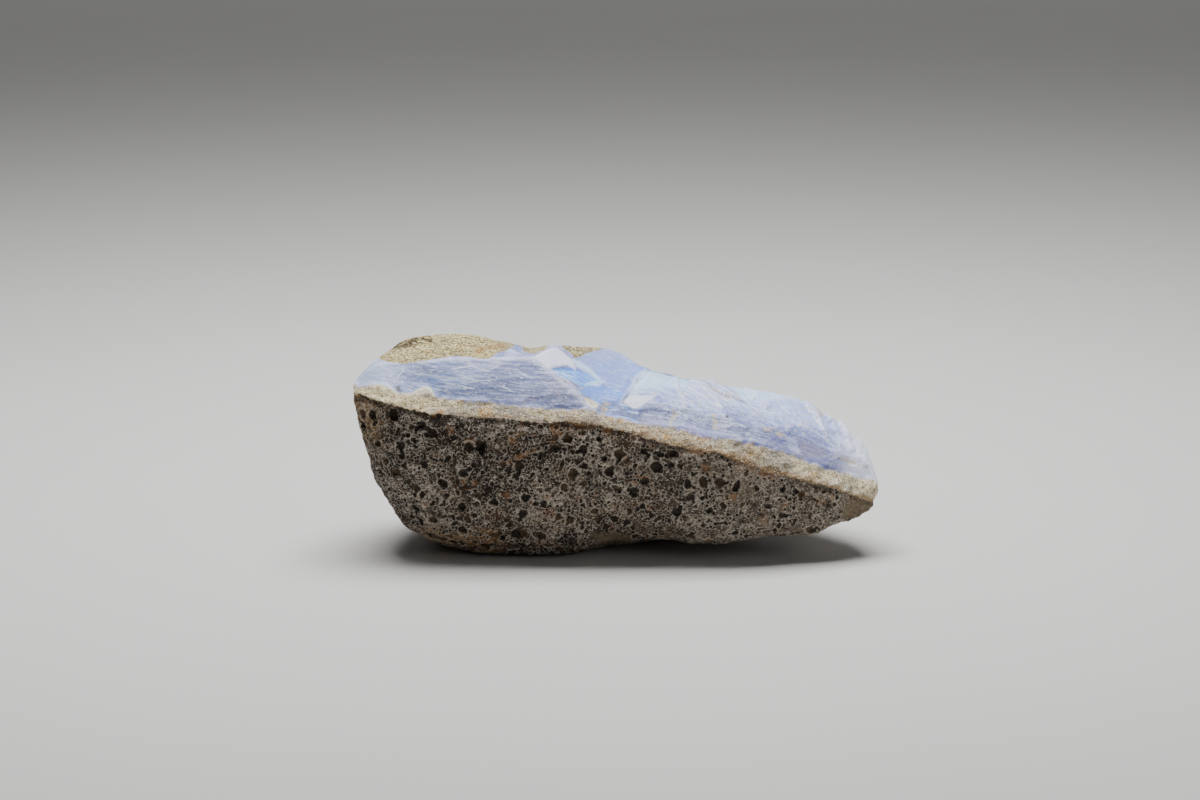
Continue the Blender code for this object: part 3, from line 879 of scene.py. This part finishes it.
def sink_pits(stone, material):
    """Runs the pit tree once for each layer of pits, and leaves a plain mesh."""
    group = pits_group()
    for number, (spacing, width, depth, seed) in enumerate(PIT_LAYERS):
        layer = stone.modifiers.new(f"pits_{number}", "NODES")
        layer.node_group = group
        wanted = {"Pit spacing": spacing, "Pit width": width, "Pit depth": depth, "Seed": seed,
                  "Surface": material}
        for item in group.interface.items_tree:
            if item.in_out == "INPUT" and item.name in wanted:
                layer[item.identifier] = wanted[item.name]
    make_plain(stone)


def keep_hollows(mesh):
    """Keeps how far each point lies below a smoothed copy of the surface: pits and cracks are above 0."""
    points = points_of(mesh)
    soft = softened(mesh, points, 0.5, HOLLOW_ROUNDS)
    keep(mesh, "hollow", ((soft - points) * normals_of(mesh)).sum(axis=1))


def rock_ground(tree, place, zones, grain):
    """Host rock between its pits: dark and light ground, crystals, stains, painted light, and where its dark
    streaks are.
    """
    broad = tree.cloud(tree.shifted(place, 0, 20, 40), 11, 3, 0.6)
    ground = grain.blotches + grain.fine * 0.8 + broad * 1.1 - 1.01
    peppered = grain.crystal + ground * 0.6
    rust = tree.rise(tree.cloud(tree.shifted(place, 0, 70, 0), 3.0, 3), 0.6, 0.68)
    x, z = zones["x"], zones["z"]
    left_end = tree.rise(x + grain.blotches * 8, -36, -42) * tree.rise(z, 19, 24)
    sole = tree.rise(z + grain.blotches * 6, 11, 7) * tree.rise(x, -38, -34) * tree.rise(x, -18, -24)
    drawn_out = tree.cloud(tree.stretched(place, stretch=(3.0, 3.0, 1)), 1.2, 3, 0.6)
    streaks = tree.rise(drawn_out, 0.53, 0.6) * (tree.rise(x, 5, -30) * 0.6 + 0.3)
    voids = tree.rise(tree.cloud(tree.shifted(place, 0, 0, 31), 2.0, 3, 0.6), 0.6, 0.66)
    gaps = streaks.most(voids)
    colour = tree.coats(
        tree.blend(tree.rise(ground, 0.3, 0.74), ROCK.dark_ground, ROCK.light_ground),
        (tree.rise(peppered, 1.0, 1.1) * 0.65, ROCK.pale_crystal),
        (tree.rise(peppered, 0.58, 0.48) * 0.7, ROCK.dark_crystal),
        (grain.brown * 0.3, ROCK.brown),
        (rust * 0.5, ROCK.rust),
        # Lighter towards the right: painted light on that side.
        (tree.rise(x, -5, 25) * 0.17, ROCK.dust),
        (left_end.most(sole) * 0.5, ROCK.ochre),
        (gaps * 0.8, ROCK.streak))
    return colour, gaps


def rock_look(tree, place, zones):
    """Host rock: salt and pepper ground, pits with painted shade inside and painted highlights on their thin
    rims, a brown lip and smooth plates.
    """
    crystal = tree.node("ShaderNodeSeparateColor", {}, {"Color": tree.cells(place, 0.24, "Color")}, "Red")
    grain = SimpleNamespace(
        crystal=crystal, blotches=tree.cloud(place, 3.0, 4, 0.65), fine=tree.cloud(place, 0.6, 4, 0.75),
        brown=tree.rise(tree.cloud(place, 7, 3, 0.6), 0.5, 0.62))
    colour, gaps = rock_ground(tree, place, zones, grain)
    holes = tree.cells(tree.shifted(place, 9, 9, 9), 0.85)
    chosen = tree.rise(tree.cloud(place, 2.6), 0.43, 0.53)
    small_pit = tree.rise(holes, 0.37, 0.3) * chosen
    small_lit_rim = tree.rise(holes, 0.33, 0.39) * tree.rise(holes, 0.5, 0.43) * chosen
    reach = zones["pit_reach"] + (grain.fine - 0.5) * 0.45
    rim = tree.rise(reach, 0.9, 1.08) * tree.rise(reach, 1.34, 1.14)
    # Pits, painted small pits and cavities are painted near black inside: painted shade in the holes, mottled
    # brown.
    dark = small_pit.most(tree.rise(reach, 1.02, 0.74)).most(tree.rise(zones["hollow"], 0.08, 0.25))
    inside = tree.coats(
        tree.blend(tree.rise(tree.cloud(place, 3.3, 1), 0.5, 0.62), ROCK.deep_pit, ROCK.brown_pit),
        (tree.rise(crystal + grain.fine, 1.05, 1.25) * 0.35, ROCK.pit_grain))
    lip = tree.rise(zones["over_host"] + grain.fine * 0.8, -0.9, 0.1) * tree.rise(grain.blotches, 0.42, 0.56)
    plate = tree.rise(zones["plate"] + (grain.fine - 0.5) * 1.2, 0.35, 0.9)
    colour = tree.coats(
        colour,
        # Pale rims round the pits: painted highlights on their edges.
        (small_lit_rim.most(rim) * 0.55, ROCK.rim),
        (dark * 0.94, inside),
        (lip * 0.7, tree.blend(grain.brown, ROCK.dark_lip, ROCK.brown_lip)),
        (plate * 0.75, tree.blend(grain.fine, ROCK.dark_plate, ROCK.light_plate)))
    relief = grain.fine * 0.14 + grain.blotches * 0.1 - small_pit * 0.18 - gaps * 0.16 + small_lit_rim * 0.03
    return colour, relief


def contact_look(tree, place, zones):
    """Contact between rock and vein: a granular tan crust, cream at its ends and greyer between."""
    ground = tree.cloud(place, 0.8, 4, 0.7)
    drawn_out = tree.cloud(tree.stretched(place, stretch=(4, 2, 1)), 0.6, 4, 0.7)
    x = zones["x"]
    past_left_end = tree.rise(x, -40, -20)
    right_end = tree.rise(x, 24, 40)
    light = tree.coats(CRUST.cream, (past_left_end, CRUST.pale_tan), (right_end, CRUST.pale_end))
    dark = tree.coats(CRUST.warm_tan, (past_left_end, CRUST.grey_brown), (right_end, CRUST.sandy_end))
    grey = tree.rise(tree.cloud(place, 4.5, 3, 0.6), 0.46, 0.58)
    spots = tree.rise(tree.cells(place, 4.5), 0.24, 0.1) * tree.rise(ground, 0.35, 0.5)
    rust = tree.rise(tree.cloud(tree.stretched(place, stretch=(2.4, 2, 1)), 2.2, 3), 0.56, 0.68)
    foot = tree.rise(zones["over_host"] + (ground - 0.5) * 2.2, 1.1, 0.1)
    crumbs = tree.rise(tree.cloud(place, 0.3, 3, 0.6), 0.52, 0.6)
    glints = tree.rise(tree.cloud(tree.shifted(place, 0, 0, 55), 0.3, 2), 0.58, 0.66)
    colour = tree.coats(
        tree.blend(tree.rise(ground * 0.4 + drawn_out * 0.6, 0.4, 0.6), dark, light),
        (grey * tree.rise(x, -38, -28) * 0.6, CRUST.grey),
        ((spots * 0.7).most(rust * 0.45), CRUST.ochre),
        (foot * tree.rise(x, -10, 25) * 0.5, CRUST.orange_foot),
        (foot * tree.rise(x, -44, -24) * 0.5, CRUST.brown_foot),
        (crumbs * 0.75, CRUST.crumb),
        (glints * 0.75, CRUST.glint))
    return colour, ground * 0.3 - crumbs * 0.1


def vein_grain(tree, place, zones):
    """Patterns of the chalcedony that several of its coats share."""
    bedded = tree.node("ShaderNodeCombineXYZ", {},
                       {"X": zones["x"] / 16, "Y": zones["y"] / 10, "Z": zones["over_vein"]})
    fibrous = tree.stretched(place, (0, 0, -FIBRE_TURN), (9, 0.8, 0.8))
    return SimpleNamespace(
        bedded=bedded,
        lace=tree.cloud(tree.shifted(bedded, 5, 5, 5), 0.45, 3, 0.6),
        silk=tree.cloud(tree.shifted(bedded, 1, 2, 9), 0.2, 2),
        mottle=tree.cloud(place, 2.6, 4, 0.7),
        fibres=tree.cloud(fibrous, 0.6, 3, 0.6),
        broad_fibres=tree.cloud(fibrous, 1.8, 2),
        ripple=tree.cloud(tree.stretched(place, (0, 0, 8), (5, 1, 1)), 0.75, 3, 0.6))


def banded_face(tree, place, zones, grain):
    """The vein's front face: blue to lavender along the contact, with milky bands, lace and specks."""
    x, over = zones["x"], zones["over_vein"]
    drift = tree.rise(tree.cloud(place, 12, 2), 0.4, 0.6)
    left_tone = tree.coats(
        tree.blend(drift, VEIN.left_blue, VEIN.left_lavender),
        (tree.rise(x, -16, -9) * 0.6, VEIN.left_lilac))
    right_tone = tree.coats(
        tree.blend(drift, VEIN.right_blue, VEIN.right_lavender),
        (tree.rise(over, 4, 1.5) * 0.6, VEIN.right_foot),
        (tree.rise(x, 14, 30) * 0.5, VEIN.right_grey))
    bed = tree.cloud(grain.bedded, 1.5, 2)
    ragged = (grain.silk + grain.lace - 1) * 0.9
    speck = tree.cloud(tree.stretched(place, (0, -15, 0), (2.5, 1, 1)), 0.35, 3, 0.7)
    specked = grain.silk * 0.5 + speck * 0.5
    return tree.coats(
        tree.blend(tree.rise(x, 0, 8), left_tone, right_tone),
        (tree.rise(bed, 0.5, 0.6) * 0.3, VEIN.light_bed),
        (tree.rise(bed, 0.47, 0.4) * 0.3, VEIN.dark_bed),
        (tree.rise(zones["pale_band"] + ragged, 0.15, 0.85) * 0.5, VEIN.pale_band),
        (tree.rise(zones["dusk_band"] + ragged, 0.15, 0.85) * 0.68, VEIN.dusk_band),
        (tree.rise(grain.lace, 0.56, 0.64) * 0.3, VEIN.lace),
        (tree.rise(grain.mottle, 0.54, 0.66) * 0.16, VEIN.light_mottle),
        (tree.rise(grain.mottle, 0.46, 0.34) * 0.2, VEIN.dark_mottle),
        (tree.rise(specked, 0.52, 0.6) * 0.5, VEIN.light_speck),
        (tree.rise(specked, 0.48, 0.4) * 0.4, VEIN.dark_speck))


def broken_top(tree, zones, grain, colour):
    """The colour with the whiter, fibrous broken top and the pale ends over it, the right one painted light,
    and where that top is.
    """
    x = zones["x"]
    ragged = tree.cloud(grain.bedded, 3, 4, 0.6) - 0.5
    over = zones["over_brow"] + ragged * 2.5 + grain.fibres * 2 - 1
    top = tree.rise(x, 0.5, 3) * tree.rise(over, -1.8, 1.6)
    broken = tree.coats(
        tree.blend(tree.rise(grain.fibres, 0.4, 0.6), BROKEN.blue_fibre, BROKEN.white_fibre),
        (tree.rise(grain.broad_fibres, 0.5, 0.6) * 0.6, BROKEN.sky_fibre),
        (tree.rise(grain.mottle, 0.44, 0.36) * 0.35, BROKEN.dull_fibre))
    tan_fibres = tree.rise(grain.fibres, 0.44, 0.38) * tree.rise(grain.broad_fibres, 0.45, 0.36) * top
    colour = tree.coats(
        colour,
        (top * 0.85, broken),
        (top * tree.rise(x, 14, 30) * 0.38, BROKEN.lavender),
        (tan_fibres * 0.5, BROKEN.tan_fibre),
        (zones["seam"] * tree.rise(grain.mottle, 0.4, 0.55) * 0.3, BROKEN.seam),
        (tree.rise(x, -36, -46) * 0.5, BROKEN.thick_end),
        # Lighter towards the right tip: painted light.
        (tree.rise(x, 39, 45.5) * 0.85, BROKEN.thin_end))
    return colour, top


def glassy_hollow(tree, zones, grain):
    """Clear blue of the hollow, rippled towards its foot."""
    z, ripple = zones["z"], grain.ripple
    low = tree.rise(z, 31.5, 29.5)
    return tree.coats(
        tree.blend(tree.rise(z, 32, 36), GLASS.deep_blue, GLASS.grey_blue),
        (tree.rise(ripple, 0.54, 0.64) * low * 0.6, GLASS.light_ripple),
        (tree.rise(ripple, 0.46, 0.38) * low * 0.5, GLASS.dark_ripple),
        (zones["dusk_band"] * tree.rise(ripple, 0.64, 0.46) * 0.9, GLASS.shade))


def marked_facets(tree, place, zones, grain, colour):
    """The colour with the named facets over it: vivid, white, pale, grey as painted shade, and cream."""
    vivid = tree.blend(tree.rise(grain.ripple, 0.4, 0.62), GLASS.vivid_blue, GLASS.vivid_sky)
    crumbs = tree.rise(tree.cloud(place, 0.5, 4, 0.7), 0.4, 0.6)
    return tree.coats(
        colour,
        (tree.rise(zones["vivid"], 0.35, 0.65) * 0.9, vivid),
        (tree.rise(zones["white"], 0.38, 0.62) * (0.7 + grain.silk * 0.3), MARK.white),
        (zones["pale"] * (0.64 + tree.rise(grain.fibres, 0.36, 0.6) * 0.3), MARK.pale),
        # Painted shade on two small facets.
        (tree.rise(zones["grey"], 0.4, 0.6) * 0.6, MARK.grey),
        (tree.rise(zones["cream"], 0.38, 0.6) * 0.9, tree.blend(crumbs, MARK.dark_cream, MARK.light_cream)),
        (tree.rise(zones["tan_fleck"] + (crumbs - 0.6) * 1.2, 0.2, 0.9) * 0.7, MARK.tan_fleck))


def line_share(tree, zones, grain, name):
    """How strongly thin lines of one kind show at each place."""
    gap = zones[name].most(zones[name] * -1)
    line = tree.rise(gap, LINE_WIDTH * 1.6, LINE_WIDTH * 0.6) * zones[name + "_near"]
    return line * tree.rise(grain.mottle, 0.36, 0.5) * 0.65


def vein_look(tree, place, zones):
    """Chalcedony: banded front face, broken top, glassy hollow, named facets, scratches, flecks, painted
    shade in hollows and painted highlights on ridges.
    """
    grain = vein_grain(tree, place, zones)
    colour = banded_face(tree, place, zones, grain)
    colour, top = broken_top(tree, zones, grain, colour)
    cloudy = 1 - zones["clear"]
    scratch = tree.rise(tree.cloud(tree.stretched(place, (20, 30, -35), (9, 0.5, 0.5)), 0.5, 1), 0.66, 0.7)
    colour = tree.coats(
        colour,
        (zones["clear"] * 0.9, glassy_hollow(tree, zones, grain)),
        (scratch * 0.5 * cloudy, MARK.scratch),
        (tree.rise(tree.cells(place, 2.2), 0.13, 0.07) * 0.6, MARK.white_fleck))
    colour = tree.coats(
        marked_facets(tree, place, zones, grain, colour),
        # Darker blue where the surface lies below its smoothed copy: painted shade in hollows and cracks.
        (tree.rise(zones["hollow"], 0.08, 0.3) * 0.25, MARK.dent),
        # Near white on convex ridges: painted highlight.
        (tree.rise(zones["hollow"], -0.06, -0.2) * cloudy * 0.25, MARK.worn),
        (line_share(tree, zones, grain, "brown_line"), MARK.brown_line),
        # Pale scratches, and one painted highlight along a ridge.
        (line_share(tree, zones, grain, "pale_line"), MARK.pale_line),
        (zones["black_fleck"] * 0.9, MARK.black_fleck))
    steps = grain.fibres * 0.12 * top + grain.lace * 0.05 + grain.silk * 0.03
    relief = steps + tree.cloud(place, 0.6, 4, 0.65) * 0.06 + grain.mottle * 0.06 - scratch * 0.04
    return colour, relief * (1 - zones["clear"] * 0.7)


def skin_look(tree, place, zones):
    """Weathered tan skin on top of the vein, with dark brown and orange streaks along it."""
    ground = tree.cloud(place, 0.5, 6, 0.85)
    crumbs = tree.rise(tree.cloud(place, 0.36, 3, 0.6), 0.53, 0.62)
    glints = tree.rise(tree.cloud(tree.shifted(place, 0, 0, 55), 0.36, 2), 0.58, 0.68)
    brushed = tree.cloud(tree.stretched(place, (0, -14, 0), (4, 1.5, 0.8)), 0.6, 4, 0.7)
    dark_streak = tree.cloud(tree.stretched(place, stretch=(5, 1.5, 0.9)), 1.1, 3)
    rust_streak = tree.cloud(tree.stretched(place, (0, 8, 0), (6, 1.2, 0.8)), 1.0, 2)
    umber = tree.rise(zones["umber"], 0.1, 0.5) * tree.rise(brushed, 0.4, 0.52)
    rust = tree.rise(zones["rust"], 0.1, 0.6) * tree.rise(brushed, 0.42, 0.54)
    colour = tree.coats(
        tree.blend(tree.rise(ground, 0.44, 0.55), TAN.dark, TAN.light),
        (tree.rise(tree.cloud(place, 3.5, 3, 0.6), 0.52, 0.64) * 0.35, TAN.olive),
        (crumbs * 0.6, TAN.crumb),
        (umber.most(tree.rise(dark_streak, 0.6, 0.68) * 0.6) * 0.92, TAN.umber),
        (rust.most(tree.rise(rust_streak, 0.6, 0.68) * 0.5) * 0.75, TAN.rust),
        (glints * 0.6, TAN.glint),
        (tree.rise(zones["x"], -26, -20) * 0.3, TAN.grey))
    return colour, ground * 0.4 - crumbs * 0.1


def zones_of(tree, place):
    """The mesh's attributes and the three coordinates, as sockets by name."""
    names = ["over_host", "over_vein", "over_brow", "skin", "pale", "clear", "seam", "plate", "pit_reach",
             "hollow"]
    names += [*MARKS, *LINES, *(name + "_near" for name in LINES)]
    zones = {name: tree.attribute(name) for name in names}
    for axis in "xyz":
        zones[axis] = tree.node("ShaderNodeSeparateXYZ", {}, {"Vector": place}, axis.upper())
    return zones


def bumped(tree, relief):
    """A normal for a relief in millimetres."""
    return tree.node("ShaderNodeBump", {}, {"Strength": 1.0, "Distance": MM, "Height": relief})


def new_material(name):
    """An empty material, and its tree."""
    material = bpy.data.materials.new(name)
    material.use_nodes = True
    material.node_tree.nodes.clear()
    return material, Tree(material.node_tree)


def stone_material():
    """One material for the whole stone; named attributes tell it which part of the stone each place is."""
    material, tree = new_material("agate_and_host_rock")
    place = tree.in_millimetres()
    zones = zones_of(tree, place)
    wander = tree.cloud(place, 1.5, 4, 0.65) - 0.5
    rock, rock_relief = rock_look(tree, place, zones)
    crust, crust_relief = contact_look(tree, place, zones)
    vein, vein_relief = vein_look(tree, place, zones)
    skin, skin_relief = skin_look(tree, place, zones)
    is_rock = tree.rise(zones["over_host"] + wander * 1.6, 0.1, -0.1)
    over_crust = tree.rise(zones["over_vein"] + wander * 1.4, -0.25, 0.25)
    is_skin = tree.rise(zones["skin"] + wander * 0.9, 0.4, 0.6) * over_crust
    is_vein = over_crust * (1 - is_skin)
    dull = tree.blend(is_skin, tree.blend(is_rock, crust, rock), skin)
    stony_relief = rock_relief * is_rock + crust_relief * (1 - is_rock)
    dull_relief = stony_relief * (1 - is_skin) + skin_relief * is_skin
    dull_shader = tree.node("ShaderNodeBsdfPrincipled", {}, {
        "Base Color": dull, "Roughness": 0.86, "Specular IOR Level": 0.3,
        "Normal": bumped(tree, dull_relief)})
    sheen = 0.36 + tree.cloud(place, 1.2, 2) * 0.3
    vein_shader = tree.node("ShaderNodeBsdfPrincipled", {}, {
        "Base Color": vein, "Roughness": sheen, "Specular IOR Level": 0.5,
        "Normal": bumped(tree, vein_relief),
        "Subsurface Weight": 0.25, "Subsurface Radius": (1.0, 1.1, 1.4), "Subsurface Scale": MM})
    mixed = tree.node("ShaderNodeMixShader", {}, {0: is_vein, 1: dull_shader, 2: vein_shader})
    tree.node("ShaderNodeOutputMaterial", {}, {"Surface": mixed})
    return material


def floor_material():
    """Pale matt paper, very slightly uneven."""
    material, tree = new_material("pale_paper")
    place = tree.in_millimetres()
    colour = tree.blend(tree.cloud(place, 60, 2), PAPER.dark, PAPER.light)
    shader = tree.node("ShaderNodeBsdfPrincipled", {}, {
        "Base Color": colour, "Roughness": 0.9 + tree.cloud(place, 3, 2) * 0.08, "Specular IOR Level": 0.15})
    tree.node("ShaderNodeOutputMaterial", {}, {"Surface": shader})
    return material


def make_stone():
    """The whole stone, which stands for its CAD solid."""
    stone = copy_of_solid()
    surface = Surface(stone.data)
    move_points(surface)
    keep_marks(surface)
    sink_pits(stone, stone_material())
    stone.data.name = STONE_PIECE
    keep_hollows(stone.data)
    stone.data.shade_smooth()
    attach(stone, "root")
    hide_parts(STONE)


def make_floor():
    """A wide pale floor, just under the stone's flat spot."""
    mesh = bpy.data.meshes.new("floor")
    corners = [(x * FLOOR_HALF, y * FLOOR_HALF, 0) for x, y in ((-1, -1), (1, -1), (1, 1), (-1, 1))]
    mesh.from_pydata(corners, [], [(0, 1, 2, 3)])
    mesh.materials.append(floor_material())
    floor = bpy.data.objects.new("floor", mesh)
    bpy.context.scene.collection.objects.link(floor)


def aim(thing, place, target):
    """Puts a light or a camera at a place in metres, looking at a target."""
    thing.location = place
    thing.rotation_mode = "QUATERNION"
    thing.rotation_quaternion = (Vector(target) - Vector(place)).to_track_quat("-Z", "Y")


def add_light(name, place, target, size, power):
    """One soft rectangular light."""
    lamp = bpy.data.lights.new(name, "AREA")
    lamp.shape = "RECTANGLE"
    lamp.size, lamp.size_y = size
    lamp.energy = power
    light = bpy.data.objects.new(name, lamp)
    bpy.context.scene.collection.objects.link(light)
    aim(light, place, target)


def make_lights():
    """A soft light from above, a weak one from the right, one for the far floor, and a dim room."""
    for name, (place, target, size, power) in LIGHTS.items():
        add_light(name, place, target, size, power)
    world = bpy.data.worlds.new("dim_room")
    world.use_nodes = True
    world.node_tree.nodes["Background"].inputs["Color"].default_value = ROOM_COLOUR
    world.node_tree.nodes["Background"].inputs["Strength"].default_value = ROOM_STRENGTH
    bpy.context.scene.world = world


def make_camera():
    """The photograph's camera, without depth of field."""
    lens = bpy.data.cameras.new("camera")
    lens.sensor_width = SENSOR_MM
    lens.lens = SENSOR_MM * FOCAL_PX / FRAME_PX[0]
    lens.clip_start = 0.01
    camera = bpy.data.objects.new("camera", lens)
    bpy.context.scene.collection.objects.link(camera)
    target = Vector((LOOKED_AT - LOFT_ORIGIN) * MM)
    back = Vector((0, -math.cos(CAMERA_TILT), math.sin(CAMERA_TILT)))
    aim(camera, target + back * CAMERA_DISTANCE * MM, target)
    bpy.context.scene.camera = camera


make_stone()
make_floor()
make_lights()
make_camera()
